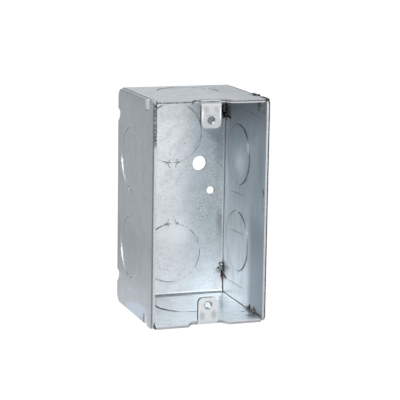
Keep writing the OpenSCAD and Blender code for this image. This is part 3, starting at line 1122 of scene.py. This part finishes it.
class BOX_OT_strip(bpy.types.Operator):
    """Finish the bent strip"""

    bl_idname = "utility_box.strip"
    bl_label = "Bent strip"

    def execute(self, context):
        settings = context.scene.utility_box_sheet
        piece = merged_copy("bent_strip", "bent_strip_sheet")
        cut = cut_steel("strip_cut", settings, strip_depth, 0.9, 0.7)
        set_finishes(piece.data, strip_steel(settings), cut, strip_face_is_cut)
        soften_edges(piece, settings.edge_round)
        dress(piece, "bent_strip")
        return {"FINISHED"}


class BOX_OT_plates(bpy.types.Operator):
    """Finish the two side plates"""

    bl_idname = "utility_box.plates"
    bl_label = "Side plates"

    def execute(self, context):
        settings = context.scene.utility_box_sheet
        sheet = plate_steel(settings)
        cut = cut_steel("plate_cut", settings, plate_depth, 0.5, 0)
        for node in ("left_side_plate", "right_side_plate"):
            piece = merged_copy(node, node + "_sheet")
            set_finishes(piece.data, sheet, cut, plate_face_is_cut)
            roll_outer_edge(piece.data, settings.die_roll)
            soften_edges(piece, settings.edge_round)
            dress(piece, node)
        return {"FINISHED"}


class BOX_OT_welds(bpy.types.Operator):
    """Melt the weld beads"""

    bl_idname = "utility_box.welds"
    bl_label = "Weld metal"

    def execute(self, context):
        rng = random.Random(context.scene.utility_box_sheet.seed)
        lumps = weld_lumps(frame["nodes"]["weld_beads"].data, rng)
        notch_plugs(lumps, rng)
        piece = add_piece("weld_lumps", lumps, weld_metal())
        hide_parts("weld_beads")
        return {"FINISHED"}


class BOX_OT_threads(bpy.types.Operator):
    """Cut the threads of the screw holes"""

    bl_idname = "utility_box.threads"
    bl_label = "Screw threads"

    def execute(self, context):
        paint = Paint("thread_steel", grey(0.55, 0.02), 1.0, 0.35)
        bm = bmesh.new()
        for name in ("upper_device_screw_hole", "lower_device_screw_hole", "ground_screw_hole"):
            thread_ridge(bm, mount_place(name), mount_radius(name), THREAD_PITCH)
            # Painted highlight where the start of each thread catches the light
            glint_place = mount_place(name) + mount_radius(name) * Vector((0.65, 0, -0.65))
            glint = paint.mark(glint_place, glint_place, 0.75, Vector((0, 1, 0)), 0.3)
            paint.coat(glint, colour=grey(1.0), metallic=0.0)
        add_piece("screw_threads", bm, paint.finish())
        return {"FINISHED"}


class BOX_OT_studio(bpy.types.Operator):
    """Place the floor, the lamps and the camera"""

    bl_idname = "utility_box.studio"
    bl_label = "Studio"

    def execute(self, context):
        scene = context.scene
        settings = scene.utility_box_studio
        scene.view_settings.view_transform = "Standard"
        scene.world = studio_world(settings)
        for name, place, size, power in LAMPS:
            add_lamp(name, Vector(place), size, power)
        add_floor(settings)
        scene.camera = add_camera(settings.focal_px)
        return {"FINISHED"}


# Colour of the light from the ceiling, the walls and the floor
STUDIO_WHITE = (0.95, 0.98, 1.0, 1)
# The floor close to the box ends here and the far floor begins, in millimetres from the box's middle
NEAR_FLOOR = 90
FAR_FLOOR = 350
# The near floor is this many times shorter behind the box
BACK_STRETCH = 2.5

# Brightness of the paper to the camera, and the share of it that no shadow darkens
PAPER_WHITE = 1.12
PAPER_PLAIN = 0.85

# The photograph's viewpoint, fitted to the box's straight edges: turns in degrees, one after another,
# and the picture's middle in pixels
VIEW_TURNS = (("Z", -19.401), ("X", -10.844), ("Y", -0.948), ("X", 90))
VIEW_MIDDLE = (201.01, 197.40)

# Name, place in metres, width in metres and power in watts of each lamp
LAMPS = (
    ("key", (-0.45, -0.75, 0.50), 0.6, 4.9),
    ("low right", (0.30, -0.90, 0.15), 0.6, 2.1),
    ("above", (0.0, 0.05, 1.0), 0.6, 2.3),
    ("high left", (-0.55, -0.40, 0.80), 0.6, 1.7),
    ("high right", (0.55, -0.40, 0.80), 0.6, 1.0),
    ("left", (-0.80, -0.50, 0.25), 0.6, 2.2),
)


def split_by_ray(nodes, mirrored, seen, output):
    """Gives the camera the second shader, and everything else the first."""
    to_camera = nodes.new("ShaderNodeLightPath", {}).outputs["Is Camera Ray"]
    choose = nodes.new("ShaderNodeMixShader", {"Fac": to_camera, 1: mirrored, 2: seen})
    nodes.put(nodes.tree.nodes[output].inputs["Surface"], choose.outputs["Shader"])


def studio_world(settings):
    """A ceiling and four walls that light the box, and plain white behind it."""
    world = bpy.data.worlds.new("studio")
    world.use_nodes = True
    tree = world.node_tree
    coordinates = tree.nodes.new("ShaderNodeTexCoord")
    nodes = Nodes(tree, coordinates.outputs["Generated"])
    up = nodes.ramp(nodes.z, 0.35, 0.75)
    sides = nodes.times(nodes.less(up), nodes.quarters(settings.walls))
    light = tree.nodes["Background"]
    nodes.put(light.inputs["Color"], STUDIO_WHITE)
    nodes.put(light.inputs["Strength"], nodes.plus(sides, nodes.times(up, settings.ceiling)))
    backdrop = nodes.new("ShaderNodeBackground", {"Color": (1, 1, 1, 1)})
    split_by_ray(nodes, light.outputs[0], backdrop.outputs[0], "World Output")
    return world


def add_lamp(name, place, size, power):
    """Square soft lamp that looks at the middle of the box."""
    data = bpy.data.lights.new(name, "AREA")
    data.energy = power
    data.size = size
    lamp = add_object(name, data)
    lamp.location = place
    aim = Vector((0, 0, MID_Z)) * MM
    lamp.rotation_euler = (aim - place).to_track_quat("-Z", "Y").to_euler()


def add_floor(settings):
    """White floor with a faint shadow, whose mirror image in the metal has its own brightness."""
    bm = bmesh.new()
    bmesh.ops.create_grid(bm, x_segments=1, y_segments=1, size=3)
    mesh = bpy.data.meshes.new("floor")
    bm.to_mesh(mesh)
    bm.free()
    mesh.materials.append(floor_paper(settings))
    floor = add_object("floor", mesh)


def floor_paper(settings):
    """White paper to the camera. The metal mirrors it more or less bright in each quarter."""
    paint = Paint("floor", (0.9, 0.9, 0.9, 1), 0.0, 1.0)
    paint.shader.inputs["Specular IOR Level"].default_value = 0
    stretched = paint.math("MAXIMUM", paint.y, paint.math("MULTIPLY", paint.y, BACK_STRETCH))
    place = paint.new("ShaderNodeCombineXYZ", {"X": paint.x, "Y": stretched})
    far = paint.ramp(paint.vector("LENGTH", place.outputs["Vector"]), NEAR_FLOOR, FAR_FLOOR)
    near = paint.times(paint.less(far), settings.near_floor)
    glow = paint.plus(near, paint.times(far, paint.quarters(settings.floor)))
    paint.finish()
    mirrored = paint.new("ShaderNodeEmission", {"Color": STUDIO_WHITE, "Strength": glow})
    white = paint.new("ShaderNodeEmission", {"Strength": PAPER_WHITE})
    shaders = {"Fac": PAPER_PLAIN, 1: paint.shader.outputs["BSDF"], 2: white.outputs["Emission"]}
    seen = paint.new("ShaderNodeMixShader", shaders)
    split_by_ray(paint, mirrored.outputs[0], seen.outputs[0], "Material Output")
    return paint.material


def add_camera(focal_px):
    """Camera at the photograph's viewpoint."""
    picture = 400
    sensor = 36
    data = bpy.data.cameras.new("camera")
    data.lens = focal_px * sensor / picture
    data.sensor_width = sensor
    data.shift_x = (picture / 2 - VIEW_MIDDLE[0]) / picture
    data.shift_y = (VIEW_MIDDLE[1] - picture / 2) / picture
    camera = add_object("camera", data)
    turn = Matrix.Identity(4)
    for axis, degrees in VIEW_TURNS:
        turn = turn @ Matrix.Rotation(math.radians(degrees), 4, axis)
    place = Vector((-0.24366, -0.67831 + FRONT_Y * MM, 0.19650))
    camera.matrix_world = Matrix.Translation(place) @ turn
    return camera


class BOX_PT_looks(bpy.types.Panel):
    """Lists the steps that finish the box"""

    bl_idname = "BOX_PT_looks"
    bl_label = "Utility Box"
    bl_space_type = "VIEW_3D"
    bl_region_type = "UI"
    bl_category = "Utility Box"

    def draw(self, context):
        column = self.layout.column()
        for step in STEPS:
            column.operator(step.bl_idname)
        for group in (context.scene.utility_box_sheet, context.scene.utility_box_studio):
            for name in group.__annotations__:
                column.prop(group, name)


STEPS = (BOX_OT_strip, BOX_OT_plates, BOX_OT_welds, BOX_OT_threads, BOX_OT_studio)
CLASSES = (UtilityBoxSheet, UtilityBoxStudio) + STEPS + (BOX_PT_looks,)


def register():
    for entry in CLASSES:
        bpy.utils.register_class(entry)
    bpy.types.Scene.utility_box_sheet = bpy.props.PointerProperty(type=UtilityBoxSheet)
    bpy.types.Scene.utility_box_studio = bpy.props.PointerProperty(type=UtilityBoxStudio)


def unregister():
    del bpy.types.Scene.utility_box_studio
    del bpy.types.Scene.utility_box_sheet
    for entry in reversed(CLASSES):
        bpy.utils.unregister_class(entry)


def main():
    register()
    bpy.ops.utility_box.strip()
    bpy.ops.utility_box.plates()
    bpy.ops.utility_box.welds()
    bpy.ops.utility_box.threads()
    bpy.ops.utility_box.studio()


if __name__ == "__main__":
    main()
